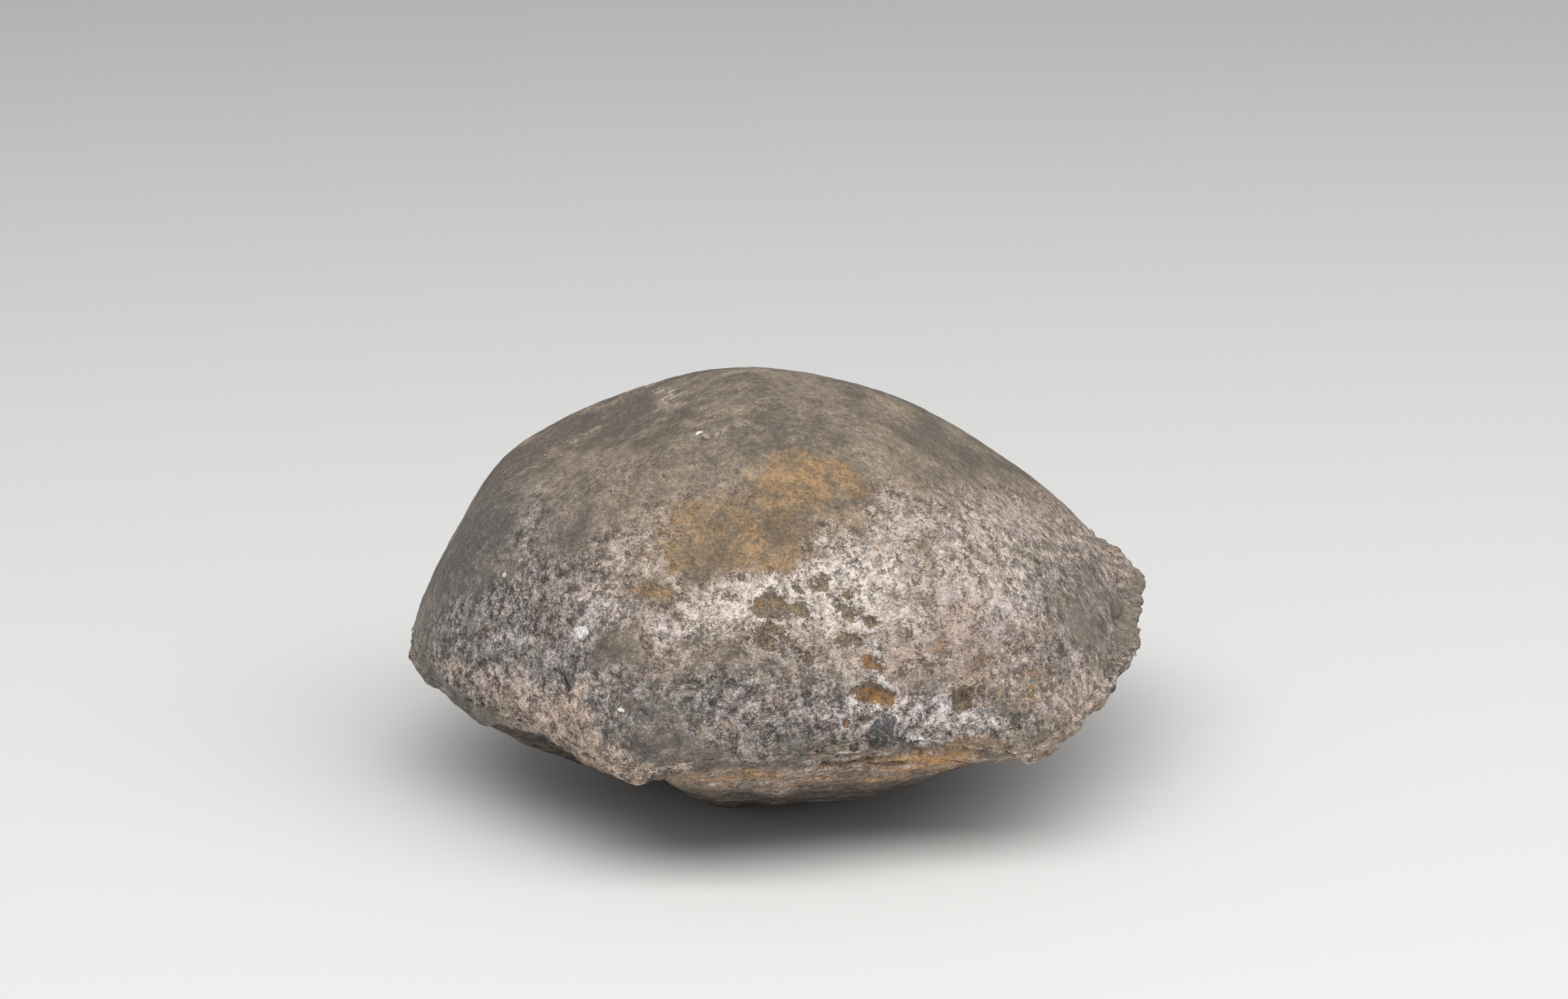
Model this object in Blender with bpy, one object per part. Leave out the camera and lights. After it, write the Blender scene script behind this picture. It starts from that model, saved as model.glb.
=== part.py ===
"""Fossil dinosaur egg: one stone, shaped like a thick lens and formed in one piece.

A tall crusted dome stands on a shallow rounded belly. Where the two meet, the broken
edge of the surrounding rock is left as a thin ragged rim with an undercut below it.
The stone lies on a small flat worn patch in the middle of its belly.

The surface is two square grids folded into discs, the dome and the belly, which share
the vertices of the rim. Bearings are in degrees, from +X towards +Y, and the lengths
above the last section are in millimetres.
"""
import itertools

import bpy
import numpy as np

MM = 0.001

# ---------------------------------------------------------------- driving dimensions
TOP = (-9.4, -1.0, 83.6)         # highest point of the dome before it is worn
BELLY_CENTRE = (-3.0, 0.0)       # middle of the worn patch that the stone rests on
REST_RADIUS = 18.5               # mean radius of that patch
CALM_SPREAD = 21.0               # degrees over which the rim's outline is evened out above it
LEDGE_FALL = 0.35                # fall of the ledge outwards, per mm of its width
EDGE_BATTER = 0.6                # how far the broken edge leans in, per mm of its height

RINGS = 24                       # rings of faces from the middle to the rim
DOME_FOOT = 22 / RINGS           # ring at which the dome ends and the ledge begins
REST_EDGE = 3 / RINGS            # ring at which the worn patch ends
BELLY_EDGE = 19 / RINGS          # ring at which the belly meets the undercut
EDGE_FOOT = 22 / RINGS           # ring at the bottom of the broken edge

# The rim, by bearing: how far it reaches from the middle, the height of its lip, the
# thickness of its broken edge, the depth of the undercut below it, the width of the
# ledge above it, and the slant of the belly there: 0 is round, 1 straight, 1.3 hollow.
RIM = np.array([
    # bearing reach   lip  edge undercut ledge slant
    (0,   75.0, 30.0, 4.5,  5.0, 5.0, 0.80),
    (8,   77.0, 31.5, 4.5,  5.0, 5.0, 0.80),
    (20,  80.5, 34.5, 5.0,  5.0, 6.0, 0.75),
    (32,  80.0, 37.0, 4.0,  5.0, 5.0, 0.75),
    (50,  75.0, 36.5, 4.0,  5.0, 3.5, 0.70),
    (70,  66.0, 35.0, 4.0,  5.0, 2.0, 0.70),
    (90,  62.0, 34.0, 4.0,  5.0, 1.5, 0.70),
    (110, 64.0, 33.0, 4.0,  5.0, 2.5, 0.70),
    (130, 70.0, 32.0, 4.0,  5.0, 3.5, 0.70),
    (150, 74.0, 31.0, 4.0,  5.0, 2.0, 0.65),
    (170, 75.5, 30.0, 4.0,  5.0, 1.0, 0.50),
    (183, 76.0, 27.5, 3.0,  4.0, 0.8, 0.35),
    (197, 71.0, 26.0, 3.0,  3.0, 0.7, 0.42),
    (210, 66.5, 25.5, 3.0,  2.0, 0.7, 0.85),
    (222, 63.0, 25.5, 2.5,  4.5, 0.7, 1.15),
    (236, 64.5, 24.0, 2.0,  8.0, 1.0, 1.15),
    (246, 67.0, 22.6, 2.0,  6.0, 1.5, 0.60),
    (251, 63.5, 24.5, 2.0,  2.0, 1.0, 0.62),
    (260, 61.5, 26.5, 3.0,  1.5, 0.6, 0.64),
    (272, 60.0, 26.5, 3.0,  1.0, 0.6, 0.62),
    (288, 57.5, 27.0, 3.0,  0.5, 0.6, 0.64),
    (300, 59.0, 26.5, 2.5,  1.5, 0.8, 0.60),
    (314, 69.0, 22.8, 2.5,  7.0, 1.2, 0.70),
    (328, 71.0, 25.5, 2.0,  7.0, 1.5, 0.75),
    (345, 71.5, 27.0, 3.0,  5.0, 2.5, 0.80),
    (353, 74.5, 28.5, 4.0,  5.0, 4.0, 0.80),
])
REACH, LIP, EDGE, UNDERCUT, LEDGE, SLANT = range(1, 7)

# The dome's curve outwards and upwards: the power on most bearings, then what is added
# round one bearing, as amount, bearing and width.
OUT_POWER = (2.0, (-0.37, 10.0, 42.0), (0.38, 170.0, 42.0))
UP_POWER = (1.75, (-0.47, 10.0, 42.0), (0.07, 170.0, 42.0))

# Broad flats worn on the dome: bearing and tilt of the outward normal, distance of the
# flat from the core, and how softly it runs out into the curve round it.
CORE = (0.0, 0.0, 35.0)
FLATS = (
    (182.0, 25.0, 47.9, 1.0),
    (180.0, 58.0, 63.4, 1.0),
    (58.0, 23.0, 54.4, 2.0),
)

# ---------------------------------------------------------------- noise
SEED = 11
dice = np.random.default_rng(SEED)
SHUFFLE = dice.permutation(256)
SLOPES = dice.normal(size=(256, 3))
SLOPES /= np.linalg.norm(SLOPES, axis=1)[:, None]


def noise(points, size):
    """Gradient noise, about -1 to 1, with lumps `size` across.

    Each corner of a cubic lattice holds a fixed random slope, and the eight ramps round
    a point are blended with the fade 6t^5 - 15t^4 + 10t^3.
    """
    place = points / size + 0.37
    cell = np.floor(place).astype(int)
    inside = place - cell
    fade = inside**3 * (inside * (6 * inside - 15) + 10)
    total = np.zeros(points.shape[:-1])
    for corner in itertools.product((0, 1), repeat=3):
        x, y, z = np.moveaxis((cell + corner) & 255, -1, 0)
        slope = SLOPES[SHUFFLE[(SHUFFLE[(SHUFFLE[x] + y) & 255] + z) & 255]]
        weight = np.prod(np.where(corner, fade, 1 - fade), axis=-1)
        total += weight * np.sum(slope * (inside - corner), axis=-1)
    return 1.7 * total


# ---------------------------------------------------------------- form
def smooth(low, high, value):
    """Smooth step from 0 at `low` to 1 at `high`."""
    t = np.clip((value - low) / (high - low), 0, 1)
    return t * t * (3 - 2 * t)


def around(bearing, column):
    """A column of RIM at any bearing, by a cubic through its rows that closes on itself."""
    rows = np.vstack([RIM[-1:], RIM, RIM[:1]])
    rows[0, 0] -= 360
    rows[-1, 0] += 360
    at, value = rows[:, 0], rows[:, column]
    slope = np.empty(len(rows))
    slope[1:-1] = (value[2:] - value[:-2]) / (at[2:] - at[:-2])
    slope[0], slope[-1] = slope[-2], slope[1]
    k = np.minimum(np.searchsorted(at, bearing, side="right") - 1, len(at) - 2)
    step = at[k + 1] - at[k]
    t = (bearing - at[k]) / step
    rise = value[k] + (value[k + 1] - value[k]) * t * t * (3 - 2 * t)
    return rise + step * t * (1 - t) * (slope[k] * (1 - t) - slope[k + 1] * t)


def calm(bearing, column):
    """A column of RIM evened out over the bearings nearby, weighted as a bell."""
    steps = np.linspace(-1.5, 1.5, 13)
    weights = np.exp(-steps**2)
    rows = [around((bearing + CALM_SPREAD * step) % 360, column) for step in steps]
    return np.tensordot(weights, rows, axes=1) / weights.sum()


def power(bearing, rule):
    """A power that swells or dips as a bell round some bearings."""
    base, *bells = rule
    for amount, middle, width in bells:
        away = (bearing - middle + 180) % 360 - 180
        base = base + amount * np.exp(-(away / width)**2)
    return base


def disc_grid(rings):
    """A square grid of ring, 0 to 1, and bearing: each nested square becomes a ring."""
    side = np.linspace(-1, 1, 2 * rings + 1)
    a, b = np.meshgrid(side, side, indexing="ij")
    ring = np.maximum(abs(a), abs(b))
    safe = np.where(ring == 0, 1, ring)
    bearing = np.where(
        abs(a) >= abs(b),
        45 * b / safe * np.sign(a) + np.where(a < 0, 180, 0),
        90 * np.sign(b) - 45 * a / safe * np.sign(b),
    )
    return ring, bearing % 360


def outward(bearing):
    """The level unit vector at a bearing."""
    turn = np.radians(bearing)
    return np.stack([np.cos(turn), np.sin(turn)], axis=-1)


def rim_place(bearing, shift):
    """Where a bearing meets the rim, as points that a noise can be read at."""
    level = outward(bearing) * around(bearing, REACH)[..., None]
    return np.concatenate([level, np.full(bearing.shape + (1,), shift)], axis=-1)


def rim_outline(ring, bearing, calm_ring):
    """Reach and lip height that the surface heads for, at a ring and a bearing.

    At the rim it is the true outline, and from `calm_ring` inwards the evened one. Next
    to the rim itself scallops are broken out of it: minus the size of a noise keeps
    sharp points between hollow bites.
    """
    near = smooth(calm_ring, 1.0, ring)
    at_rim = smooth(0.84, 1.0, ring)
    bites = (1.1 - 2.2 * abs(noise(rim_place(bearing, 0.0), 15.0))
             - 1.3 * abs(noise(rim_place(bearing, 40.0), 6.5)))
    steps = 1.1 * noise(rim_place(bearing, 80.0), 11.0)
    reach = calm(bearing, REACH) * (1 - near) + around(bearing, REACH) * near
    lip = calm(bearing, LIP) * (1 - near) + around(bearing, LIP) * near
    return reach + bites * at_rim, lip + steps * at_rim


def pressed(points):
    """Flats worn on the dome: what stands out past each one is eased back onto it."""
    for bearing, tilt, distance, softness in FLATS:
        level = np.sin(np.radians(tilt)) * outward(bearing)
        normal = np.append(level, np.cos(np.radians(tilt)))
        proud = (points - CORE) @ normal - distance
        points = points - (softness * np.logaddexp(0, proud / softness))[..., None] * normal
    return points


def dome(ring, bearing):
    """The upper face: a superellipse from the top to the dome's foot, then the ledge.

    Out = sin(t)^(2/p) and up = cos(t)^(2/q), with t from 0 to 90 degrees. p and q are
    low towards +X, where the dome slopes away, and p is high towards -X, where it is
    steep; at the top p is 2 all round, so that no point stands there.
    """
    reach, lip = rim_outline(ring, bearing, 0.45)
    turned = smooth(0.0, 0.5, ring)
    out_power = 2.0 + (power(bearing, OUT_POWER) - 2.0) * turned
    up_power = power(bearing, UP_POWER)
    t = np.minimum(ring / DOME_FOOT, 1) * np.pi / 2
    out = np.sin(t)**(2 / out_power)
    up = np.clip(np.cos(t), 0, 1)**(2 / up_power)
    uneven = 1 + 0.4 * noise(rim_place(bearing, 120.0), 10.0)
    near = smooth(0.75, DOME_FOOT, ring)
    ledge = calm(bearing, LEDGE) * (1 - near) + around(bearing, LEDGE) * uneven * near
    ledge = ledge * smooth(0, 0.15, ring)
    drop = LEDGE_FALL * ledge
    along = np.clip((ring - DOME_FOOT) / (1 - DOME_FOOT), 0, 1)
    foot = (reach - ledge)[..., None] * outward(bearing)
    level = np.array(TOP[:2]) * (1 - out)[..., None] + foot * out[..., None]
    level += (ledge * along)[..., None] * outward(bearing)
    height = lip + drop + (TOP[2] - lip - drop) * up - drop * along
    return pressed(np.concatenate([level, height[..., None]], axis=-1))


def belly(ring, bearing):
    """The lower face: worn patch, belly, undercut and broken edge, one after another.

    The belly's height is a straight slope and a cubic, mixed by its slant.
    """
    reach, lip = rim_outline(ring, bearing, 0.55)
    edge = around(bearing, EDGE) * (1 + 0.7 * noise(rim_place(bearing, 160.0), 8.0))
    edge_low = lip - edge
    edge_reach = reach - EDGE_BATTER * edge
    root_reach = edge_reach - around(bearing, UNDERCUT)
    root_low = edge_low - 1.0
    slant = around(bearing, SLANT)
    rest = REST_RADIUS * (1 + 0.07 * np.sin(np.radians(3 * bearing + 50)))
    patch = np.clip(ring / REST_EDGE, 0, 1)
    rise = np.clip((ring - REST_EDGE) / (BELLY_EDGE - REST_EDGE), 0, 1)
    under = np.clip((ring - BELLY_EDGE) / (EDGE_FOOT - BELLY_EDGE), 0, 1)
    up = np.clip((ring - EDGE_FOOT) / (1 - EDGE_FOOT), 0, 1)
    way = outward(bearing)
    level = (np.array(BELLY_CENTRE) * (1 - rise)[..., None]
             + (rest * patch * (1 - rise) + root_reach * rise)[..., None] * way)
    level += ((edge_reach - root_reach) * under + (reach - edge_reach) * up)[..., None] * way
    height = root_low * (slant * rise + (1 - slant) * rise**3)
    height += (edge_low - root_low) * under + (lip - edge_low) * up
    return np.concatenate([level, height[..., None]], axis=-1)


# ---------------------------------------------------------------- relief
# Named hollows and bumps of the surface: where the middle is, how wide it is along X, Y
# and Z, and how far it stands out (or in, below zero).
FEATURES = {
    "pebble": ((20.3, -52.5, 29.3), (4.2, 4.2, 3.8), 1.5),
    "orange scar": ((18.3, -52.3, 37.0), (5.5, 5.0, 4.0), -1.0),
    "shell scar": ((0.5, -50.9, 54.0), (5.5, 5.0, 4.4), -0.7),
    "scar below it": ((-2.0, -53.7, 49.6), (6.5, 5.0, 4.4), -0.5),
    "notch behind the spur": ((-27.0, -58.5, 27.0), (6.0, 5.0, 4.5), -1.2),
    "bright ledge": ((31.0, -51.0, 31.0), (10.0, 5.0, 3.4), 1.0),
    "left dent": ((-50.0, -28.0, 46.0), (16.0, 16.0, 11.0), -0.9),
    "back dent": ((-34.0, 42.0, 60.0), (17.0, 17.0, 13.0), -1.2),
    "back spall": ((28.0, 48.0, 52.0), (13.0, 13.0, 9.0), -1.3),
    "belly dent": ((34.0, 18.0, 10.0), (15.0, 12.0, 9.0), -1.1),
}


def relief(points, ring, below):
    """How far the surface stands out of its smooth form, in mm.

    Broad swells and smaller lumps, least on the crusted dome and most on the broken
    rim, and the named features. Nothing moves on the worn patch below.
    """
    broken = smooth(0.80, 0.95, ring)
    rough = 0.5 + 0.5 * np.maximum(broken, below)
    height = 0.9 * noise(points, 34.0) + 0.5 * rough * noise(points, 15.0)
    height += 0.3 * rough * noise(points, 7.5) - 0.9 * broken * abs(noise(points, 9.0))
    waver = 0.25 * noise(points, 6.0)
    for middle, size, stand in FEATURES.values():
        away = np.linalg.norm((points - middle) / size, axis=-1) + waver
        height += stand * (1 - smooth(0.2, 1.0, away))
    return height * np.where(below > 0, smooth(REST_EDGE, REST_EDGE + 0.12, ring), 1.0)


def vertex_normals(points, faces):
    """The mean outward direction of the faces round each vertex."""
    a, b, c = (points[faces[:, k]] for k in range(3))
    facing = np.cross(b - a, c - a)
    total = np.zeros_like(points)
    for k in range(3):
        np.add.at(total, faces[:, k], facing)
    return total / np.linalg.norm(total, axis=1)[:, None]


def triangles(index):
    """Two triangles to each square of an index grid, anticlockwise from above.

    Every square is cut along the diagonal that points away from the middle of the grid.
    """
    a, b, c, d = index[:-1, :-1], index[1:, :-1], index[1:, 1:], index[:-1, 1:]
    half = len(a) // 2
    sign = np.where(np.arange(len(a)) < half, -1, 1)
    out = (sign[:, None] * sign[None, :] > 0)[..., None]
    first = np.where(out, np.stack([a, b, c], axis=-1), np.stack([a, b, d], axis=-1))
    second = np.where(out, np.stack([a, c, d], axis=-1), np.stack([b, c, d], axis=-1))
    return np.concatenate([first, second]).reshape(-1, 3)


def stone(rings):
    """Vertices, triangles, each vertex's ring, and 1 below the rim or 0 above it."""
    ring, bearing = disc_grid(rings)
    side = 2 * rings + 1
    upper = np.arange(side * side).reshape(side, side)
    lower = upper.copy()
    inner = ring < 1 - 1e-9
    lower[inner] = side * side + np.arange(inner.sum())
    points = np.concatenate([
        dome(ring, bearing).reshape(-1, 3),
        belly(ring[inner], bearing[inner]),
    ])
    faces = np.concatenate([triangles(upper), triangles(lower)[:, ::-1]])
    below = np.repeat([0.0, 1.0], [side * side, inner.sum()])
    ring = np.concatenate([ring.ravel(), ring[inner]])
    normals = vertex_normals(points, faces)
    points = points + normals * relief(points, ring, below)[:, None]
    return points, faces, ring, below


# ---------------------------------------------------------------- materials
def stone_material():
    """Weathered sandstone, grey-brown with a pink cast, dull all over."""
    material = bpy.data.materials.new("sandstone")
    material.use_nodes = True
    shader = material.node_tree.nodes["Principled BSDF"]
    shader.inputs["Base Color"].default_value = (0.30, 0.26, 0.22, 1)
    shader.inputs["Roughness"].default_value = 0.85
    shader.inputs["Metallic"].default_value = 0.0
    return material


# ---------------------------------------------------------------- the stone
def build():
    """The stone as one closed object, centred over the origin and resting at z = 0."""
    for thing in list(bpy.data.objects):
        bpy.data.objects.remove(thing, do_unlink=True)
    points, faces, _, _ = stone(RINGS)
    points[:, :2] -= (points[:, :2].max(axis=0) + points[:, :2].min(axis=0)) / 2
    mesh = bpy.data.meshes.new("fossil_egg")
    mesh.from_pydata((points * MM).tolist(), [], faces.tolist())
    mesh.validate()
    mesh.materials.append(stone_material())
    egg = bpy.data.objects.new("fossil_egg", mesh)
    bpy.context.scene.collection.objects.link(egg)
    mesh.shade_smooth()
    mesh.set_sharp_from_angle(angle=np.radians(35))
    return egg


if __name__ == "__main__":
    build()
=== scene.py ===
"""The fossil dinosaur egg as it looks: one weathered stone on a plain pale floor."""
import itertools
from types import SimpleNamespace

import bpy
import numpy as np
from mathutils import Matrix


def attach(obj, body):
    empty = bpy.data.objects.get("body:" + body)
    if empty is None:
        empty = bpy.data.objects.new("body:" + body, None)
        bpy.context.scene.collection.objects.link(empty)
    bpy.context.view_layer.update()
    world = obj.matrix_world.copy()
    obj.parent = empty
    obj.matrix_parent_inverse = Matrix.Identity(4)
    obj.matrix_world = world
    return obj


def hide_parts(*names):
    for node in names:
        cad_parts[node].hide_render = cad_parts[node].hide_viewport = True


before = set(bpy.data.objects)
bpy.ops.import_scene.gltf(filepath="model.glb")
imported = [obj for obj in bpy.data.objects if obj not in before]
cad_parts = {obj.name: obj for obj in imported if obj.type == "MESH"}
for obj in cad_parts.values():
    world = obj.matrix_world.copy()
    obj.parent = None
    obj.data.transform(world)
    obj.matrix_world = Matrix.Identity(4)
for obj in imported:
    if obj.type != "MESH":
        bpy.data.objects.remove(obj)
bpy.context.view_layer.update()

# ---------------------------------------------------------------- the stone
# One sandstone body shaped like a thick lens: a tall dome under a dark mineral crust, a
# shallow belly, and the broken edge of the surrounding rock between them as a thin ragged
# rim. It formed in one piece. Lengths here are in millimetres, bearings in degrees.
MM = 0.001
TOP = (-9.4, -1.0, 83.6)         # highest point of the dome before it is worn
BELLY_CENTRE = (-3.0, 0.0)       # middle of the worn patch that the stone rests on
REST_RADIUS = 18.5               # mean radius of that patch
CALM_SPREAD = 21.0               # degrees over which the rim's outline is evened out above it
LEDGE_FALL = 0.35                # fall of the ledge outwards, per mm of its width
EDGE_BATTER = 0.6                # how far the broken edge leans in, per mm of its height
SOLID_RINGS = 24                 # rings of faces in the plain solid
FINE_RINGS = 110                 # rings of faces in the finished surface
DOME_FOOT = 22 / SOLID_RINGS     # ring at which the dome ends and the ledge begins
REST_EDGE = 3 / SOLID_RINGS      # ring at which the worn patch ends
BELLY_EDGE = 19 / SOLID_RINGS    # ring at which the belly meets the undercut
EDGE_FOOT = 22 / SOLID_RINGS     # ring at the bottom of the broken edge
DOME_CALM = 0.45                 # ring within which the dome heads for the evened outline
BELLY_CALM = 0.55                # ring within which the belly does
LEDGE_FROM = 0.75                # ring from which the ledge turns to its true width
BITES_FROM = 0.84                # ring from which the outline is bitten into scallops
BROKEN = (0.80, 0.95)            # rings over which the surface turns to broken rock
ROOT_DROP = 1.0                  # how far the undercut falls inwards from the broken edge

# The rim, by bearing: how far it reaches from the middle, the height of its lip, the
# thickness of its broken edge, the depth of the undercut below it, the width of the
# ledge above it, and the slant of the belly there: 0 is round, 1 straight, 1.3 hollow.
RIM = np.array([
    # bearing reach   lip  edge undercut ledge slant
    (0,   75.0, 30.0, 4.5,  5.0, 5.0, 0.80),
    (8,   77.0, 31.5, 4.5,  5.0, 5.0, 0.80),
    (20,  80.5, 34.5, 5.0,  5.0, 6.0, 0.75),
    (32,  80.0, 37.0, 4.0,  5.0, 5.0, 0.75),
    (50,  75.0, 36.5, 4.0,  5.0, 3.5, 0.70),
    (70,  66.0, 35.0, 4.0,  5.0, 2.0, 0.70),
    (90,  62.0, 34.0, 4.0,  5.0, 1.5, 0.70),
    (110, 64.0, 33.0, 4.0,  5.0, 2.5, 0.70),
    (130, 70.0, 32.0, 4.0,  5.0, 3.5, 0.70),
    (150, 74.0, 31.0, 4.0,  5.0, 2.0, 0.65),
    (170, 75.5, 30.0, 4.0,  5.0, 1.0, 0.50),
    (183, 76.0, 27.5, 3.0,  4.0, 0.8, 0.35),
    (197, 71.0, 26.0, 3.0,  3.0, 0.7, 0.42),
    (210, 66.5, 25.5, 3.0,  2.0, 0.7, 0.85),
    (222, 63.0, 25.5, 2.5,  4.5, 0.7, 1.15),
    (236, 64.5, 24.0, 2.0,  8.0, 1.0, 1.15),
    (246, 67.0, 22.6, 2.0,  6.0, 1.5, 0.60),
    (251, 63.5, 24.5, 2.0,  2.0, 1.0, 0.62),
    (260, 61.5, 26.5, 3.0,  1.5, 0.6, 0.64),
    (272, 60.0, 26.5, 3.0,  1.0, 0.6, 0.62),
    (288, 57.5, 27.0, 3.0,  0.5, 0.6, 0.64),
    (300, 59.0, 26.5, 2.5,  1.5, 0.8, 0.60),
    (314, 69.0, 22.8, 2.5,  7.0, 1.2, 0.70),
    (328, 71.0, 25.5, 2.0,  7.0, 1.5, 0.75),
    (345, 71.5, 27.0, 3.0,  5.0, 2.5, 0.80),
    (353, 74.5, 28.5, 4.0,  5.0, 4.0, 0.80),
])
REACH, LIP, EDGE, UNDERCUT, LEDGE, SLANT = range(1, 7)

# The dome's curve outwards and upwards: the power on most bearings, then what is added
# round one bearing, as amount, bearing and width.
OUT_POWER = (2.0, (-0.37, 10.0, 42.0), (0.38, 170.0, 42.0))
UP_POWER = (1.75, (-0.47, 10.0, 42.0), (0.07, 170.0, 42.0))

# Broad flats worn on the dome: bearing and tilt of the outward normal, distance of the
# flat from the core, and how softly it runs out into the curve round it.
CORE = (0.0, 0.0, 35.0)
FLATS = (
    (182.0, 25.0, 47.9, 1.0),
    (180.0, 58.0, 63.4, 1.0),
    (58.0, 23.0, 54.4, 2.0),
)

# Hollows and bumps: where the middle is, how wide it is along X, Y and Z, and how far it
# stands out, or in where it is below zero.
FEATURES = {
    "pebble": ((20.3, -52.5, 29.3), (4.2, 4.2, 3.8), 1.5),
    "orange scar": ((18.3, -52.3, 37.0), (5.5, 5.0, 4.0), -1.0),
    "shell scar": ((0.5, -50.9, 54.0), (5.5, 5.0, 4.4), -0.7),
    "scar below it": ((-2.0, -53.7, 49.6), (6.5, 5.0, 4.4), -0.5),
    "notch behind the spur": ((-27.0, -58.5, 27.0), (6.0, 5.0, 4.5), -1.2),
    "bright ledge": ((31.0, -51.0, 31.0), (10.0, 5.0, 3.4), 1.0),
    "left dent": ((-50.0, -28.0, 46.0), (16.0, 16.0, 11.0), -0.9),
    "back dent": ((-34.0, 42.0, 60.0), (17.0, 17.0, 13.0), -1.2),
    "back spall": ((28.0, 48.0, 52.0), (13.0, 13.0, 9.0), -1.3),
    "belly dent": ((34.0, 18.0, 10.0), (15.0, 12.0, 9.0), -1.1),
}

SEED = 11
LATTICE = 256                    # cells after which the noise repeats
LATTICE_SHIFT = 0.37             # cells by which it is moved off the origin, where it is 0
NOISE_GAIN = 1.7                 # brings it to about -1 to 1
dice = np.random.default_rng(SEED)
SHUFFLE = dice.permutation(LATTICE)
SLOPES = dice.normal(size=(LATTICE, 3))
SLOPES /= np.linalg.norm(SLOPES, axis=1)[:, None]


def noise(points, size):
    """Gradient noise, about -1 to 1, with lumps `size` across.

    Each corner of a cubic lattice holds a fixed random slope, and the eight ramps round
    a point are blended with the fade 6t^5 - 15t^4 + 10t^3. Points that are first moved by
    a fixed length read another noise of the same kind.
    """
    place = points / size + LATTICE_SHIFT
    cell = np.floor(place).astype(int)
    inside = place - cell
    fade = inside**3 * (inside * (6 * inside - 15) + 10)
    total = np.zeros(points.shape[:-1])
    for corner in itertools.product((0, 1), repeat=3):
        x, y, z = np.moveaxis((cell + corner) % LATTICE, -1, 0)
        slope = SLOPES[SHUFFLE[(SHUFFLE[(SHUFFLE[x] + y) % LATTICE] + z) % LATTICE]]
        weight = np.prod(np.where(corner, fade, 1 - fade), axis=-1)
        total += weight * np.sum(slope * (inside - corner), axis=-1)
    return NOISE_GAIN * total


def smooth(low, high, value):
    """Smooth step, 3t^2 - 2t^3, from 0 at `low` to 1 at `high`."""
    t = np.clip((value - low) / (high - low), 0, 1)
    return t * t * (3 - 2 * t)


def around(bearing, column):
    """A column of RIM at any bearing, by a cubic through its rows that closes on itself."""
    rows = np.vstack([RIM[-1:], RIM, RIM[:1]])
    rows[0, 0] -= 360
    rows[-1, 0] += 360
    at, value = rows[:, 0], rows[:, column]
    slope = np.empty(len(rows))
    slope[1:-1] = (value[2:] - value[:-2]) / (at[2:] - at[:-2])
    slope[0], slope[-1] = slope[-2], slope[1]
    k = np.minimum(np.searchsorted(at, bearing, side="right") - 1, len(at) - 2)
    step = at[k + 1] - at[k]
    t = (bearing - at[k]) / step
    rise = value[k] + (value[k + 1] - value[k]) * t * t * (3 - 2 * t)
    return rise + step * t * (1 - t) * (slope[k] * (1 - t) - slope[k + 1] * t)


def calm(bearing, column):
    """A column of RIM evened out over the bearings nearby, weighted as a bell."""
    steps = np.linspace(-1.5, 1.5, 13)
    weights = np.exp(-steps**2)
    rows = [around((bearing + CALM_SPREAD * step) % 360, column) for step in steps]
    return np.tensordot(weights, rows, axes=1) / weights.sum()


def power(bearing, rule):
    """A power that swells or dips round some bearings, each by amount * e^-(away/width)^2."""
    base, *bells = rule
    for amount, middle, width in bells:
        away = (bearing - middle + 180) % 360 - 180
        base = base + amount * np.exp(-(away / width)**2)
    return base


def disc_grid(rings):
    """A square grid of ring, 0 to 1, and bearing: each nested square becomes a ring.

    The ring is the larger of the two distances from the middle, and the bearing runs
    evenly along each quarter of the nested square.
    """
    side = np.linspace(-1, 1, 2 * rings + 1)
    a, b = np.meshgrid(side, side, indexing="ij")
    ring = np.maximum(abs(a), abs(b))
    safe = np.where(ring == 0, 1, ring)
    bearing = np.where(
        abs(a) >= abs(b),
        45 * b / safe * np.sign(a) + np.where(a < 0, 180, 0),
        90 * np.sign(b) - 45 * a / safe * np.sign(b),
    )
    return ring, bearing % 360


def outward(bearing):
    """The level unit vector at a bearing."""
    turn = np.radians(bearing)
    return np.stack([np.cos(turn), np.sin(turn)], axis=-1)


def rim_place(bearing, shift):
    """Where a bearing meets the rim, as points to read a noise at: `shift` picks which."""
    level = outward(bearing) * around(bearing, REACH)[..., None]
    return np.concatenate([level, np.full(bearing.shape + (1,), shift)], axis=-1)


def rim_outline(ring, bearing, calm_ring):
    """Reach and lip height that the surface heads for, at a ring and a bearing.

    At the rim it is the true outline, and from `calm_ring` inwards the evened one. Next
    to the rim itself scallops are broken out of it: minus the size of a noise keeps
    sharp points between hollow bites.
    """
    near = smooth(calm_ring, 1.0, ring)
    at_rim = smooth(BITES_FROM, 1.0, ring)
    bites = (1.1 - 2.2 * abs(noise(rim_place(bearing, 0.0), 15.0))
             - 1.3 * abs(noise(rim_place(bearing, 40.0), 6.5)))
    steps = 1.1 * noise(rim_place(bearing, 80.0), 11.0)
    reach = calm(bearing, REACH) * (1 - near) + around(bearing, REACH) * near
    lip = calm(bearing, LIP) * (1 - near) + around(bearing, LIP) * near
    return reach + bites * at_rim, lip + steps * at_rim


def pressed(points):
    """Flats worn on the dome: what stands out past each one is eased back onto it.

    A point goes back along the flat's normal by s * log(1 + e^(proud/s)), s its softness.
    """
    for bearing, tilt, distance, softness in FLATS:
        level = np.sin(np.radians(tilt)) * outward(bearing)
        normal = np.append(level, np.cos(np.radians(tilt)))
        proud = (points - CORE) @ normal - distance
        points = points - (softness * np.logaddexp(0, proud / softness))[..., None] * normal
    return points


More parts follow.
